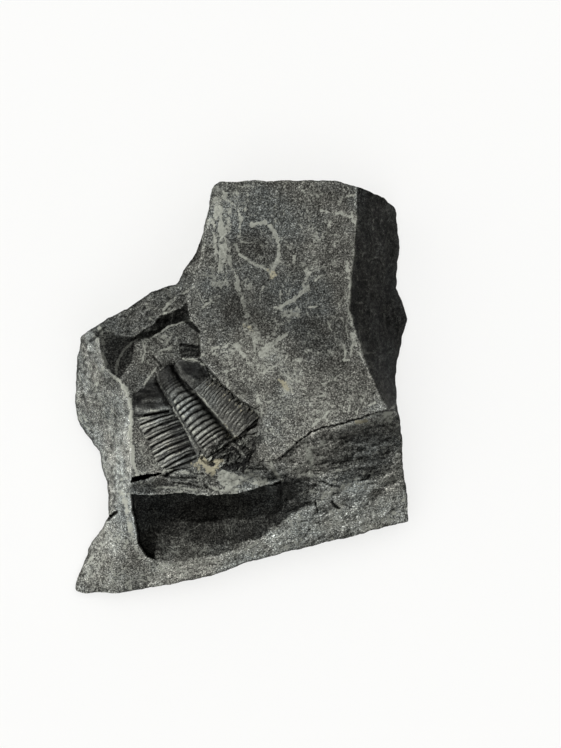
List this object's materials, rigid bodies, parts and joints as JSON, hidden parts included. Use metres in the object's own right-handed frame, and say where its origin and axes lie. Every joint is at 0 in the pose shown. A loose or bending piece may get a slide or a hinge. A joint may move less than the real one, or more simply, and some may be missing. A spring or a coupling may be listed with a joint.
{
  "type": "trilobite fossil",
  "caption": "Broken block of dark grey shale lying on its flat back, with a trilobite tail and thorax in a shallow bay of its top face and a scooped hollow below a ledge.",
  "frame": {"origin": "on the flat resting face, under the middle of the block's outline", "axes": "+Z out of the resting face to the fossil side; +Y to the block's straight broken edge, which is the top of the picture; +X to the steep dark side face, which is the right of the picture"},
  "size_m": [0.1207, 0.1479, 0.0454],
  "materials": {
    "shale": "dull, slightly rough fracture surface of fine-grained shale with pale scuffs",
    "shell": "smooth mineralised shell, slightly glossier than the rock"
  },
  "bodies": {
    "root": {"shale_matrix": "shale", "trilobite": "shell"}
  },
  "joints": []
}
